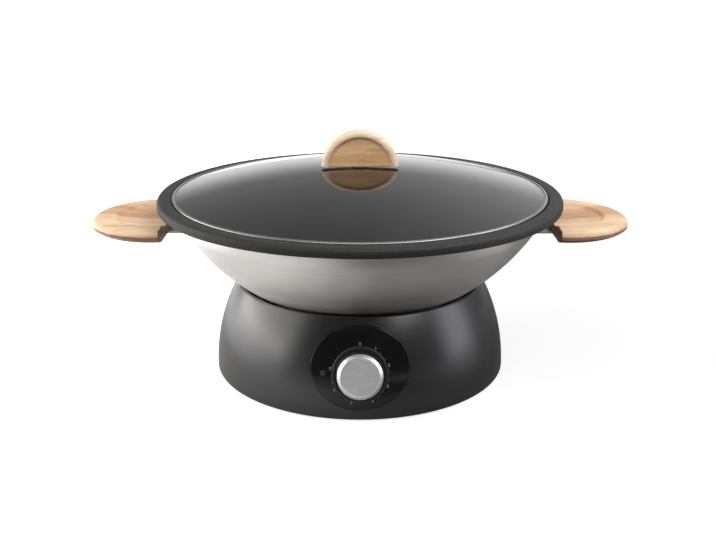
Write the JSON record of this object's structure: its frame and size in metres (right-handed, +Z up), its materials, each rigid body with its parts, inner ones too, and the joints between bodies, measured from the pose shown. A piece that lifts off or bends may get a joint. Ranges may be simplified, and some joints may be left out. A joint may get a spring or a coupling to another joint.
{
  "type": "electric wok",
  "caption": "Electric wok: moulded base with heater and dial, lift-out steel wok with wooden side grips, and a lift-off smoked glass lid with a wooden knob.",
  "frame": {"origin": "on the table, under the middle of the wok, at the underside of the feet", "axes": "+X along the two grips, to the right when the dial faces the viewer; -Y to the dial side; +Z up"},
  "size_m": [0.5098, 0.38, 0.2296],
  "materials": {
    "housing_plastic": "fine-textured black moulding, satin",
    "panel_gloss": "polished black",
    "dial_plastic": "black, fine texture",
    "inner_plastic": "natural heat-resistant plastic",
    "knob_silver": "silver lacquer, bright bevel",
    "knob_metal": "spun face, fine rings",
    "steel": "zinc-plated sheet and screws",
    "lens": "amber pilot lens",
    "element_metal": "dark oxidised heater sheath",
    "reflector": "drawn sheet, satin",
    "aluminium": "turned",
    "copper": "thin drawn tube",
    "ceramic": "unglazed steatite",
    "lead_rubber": "silicone sleeve",
    "wok_steel": "satin steel outside, black non-stick inside and on the rim",
    "lid_glass": "smoked tempered glass",
    "lid_band": "polished band",
    "brass": "machined",
    "rubber": "matt",
    "wood": "oiled light beech, fine grain"
  },
  "bodies": {
    "base": {"base_housing": "housing_plastic", "control_panel": "panel_gloss", "scale_ring": "dial_plastic", "indicator_lens": "lens", "indicator_lamp": "lens", "thermostat_body": "inner_plastic", "thermostat_bracket": "steel", "thermostat_screws": "steel", "heating_element": "element_metal", "element_bushings": "ceramic", "element_support": "steel", "reflector_bowl": "reflector", "reflector_screws": "steel", "sensor_probe": "aluminium", "sensor_spring": "steel", "capillary_tube": "copper", "thermal_fuse": "steel", "fuse_clip": "steel", "terminal_block": "inner_plastic", "internal_leads": "lead_rubber", "cord_gland": "dial_plastic", "cord_clamp": "inner_plastic", "clamp_screws": "steel", "bottom_cover": "housing_plastic", "cover_screws": "steel", "foot_rear_right": "rubber", "foot_rear_left": "rubber", "foot_front_left": "rubber", "foot_front_right": "rubber"},
    "knob": {"control_knob": "knob_silver", "knob_cap": "knob_metal", "thermostat_spindle": "steel"},
    "pan": {"wok_pan": "wok_steel", "bracket_left": "steel", "bracket_right": "steel", "grip_left": "wood", "grip_right": "wood", "grip_screws": "steel"},
    "lid": {"lid_glass": "lid_glass", "lid_rim": "lid_band", "lid_gasket": "rubber", "lid_washer": "steel", "lid_screw": "steel", "lid_insert": "brass", "lid_grip": "wood"}
  },
  "joints": [
    {"name": "pan_lift", "type": "slide", "parent": "base", "child": "pan", "axis": [0, 0, 1], "range_m": [0, 0.12]},
    {"name": "lid_lift", "type": "slide", "parent": "pan", "child": "lid", "axis": [0, 0, 1], "range_m": [0, 0.12]},
    {"name": "knob_turn", "type": "hinge", "parent": "base", "child": "knob", "pos_m": [0, -0.13617, 0.0427], "axis": [0, 0.9722, -0.2342], "range_deg": [0, 280]}
  ]
}
